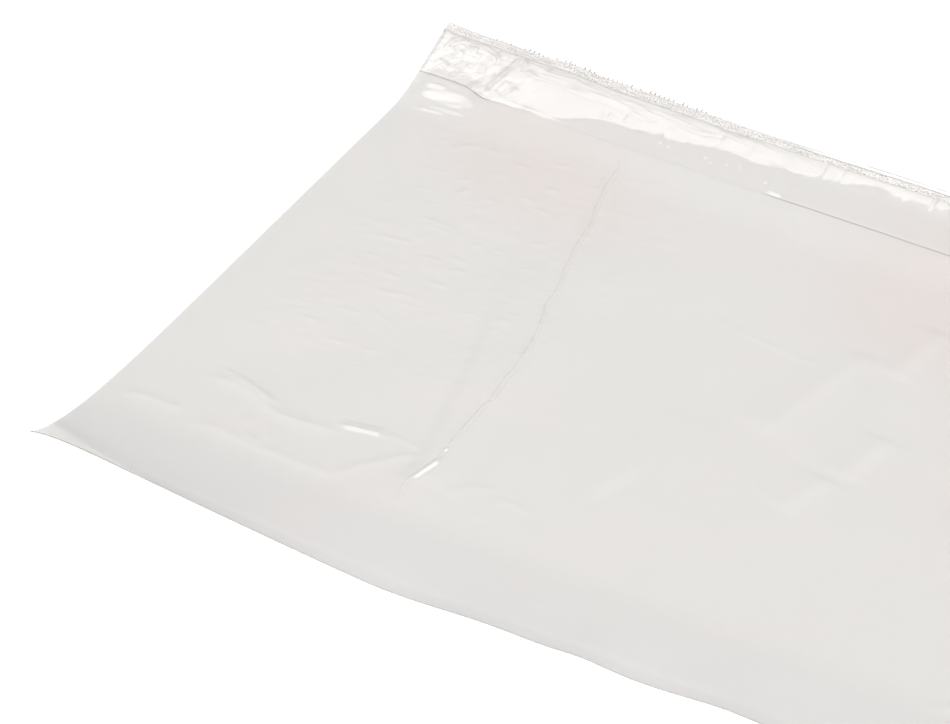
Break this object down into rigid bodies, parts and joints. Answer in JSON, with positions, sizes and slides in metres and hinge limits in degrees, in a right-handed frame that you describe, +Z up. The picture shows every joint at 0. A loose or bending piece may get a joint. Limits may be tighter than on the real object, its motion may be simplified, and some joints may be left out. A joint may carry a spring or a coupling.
{
  "type": "packing list envelope",
  "caption": "Flat clear film pouch with an adhesive back on its release liner, a heat-sealed knurled top edge and a mouth slit below it, lying with one corner curled up.",
  "frame": {"origin": "middle of the outer box, on the surface that the liner lies on", "axes": "+X along the mouth and the sealed top edge, to the right; +Y across the sheet towards the sealed top edge; +Z up, out of the clear face"},
  "size_m": [0.254, 0.1772, 0.0088],
  "materials": {
    "liner_paper": "smooth coated white paper",
    "back_film": "hazy clear film with an adhesive coat underneath",
    "face_film": "satin clear film with fine ripples",
    "lip_film": "glossy clear film, crinkled, with a knurled weld"
  },
  "bodies": {
    "root": {"release_liner": "liner_paper", "back_film": "back_film", "face_film": "face_film", "lip_film": "lip_film"}
  },
  "joints": []
}
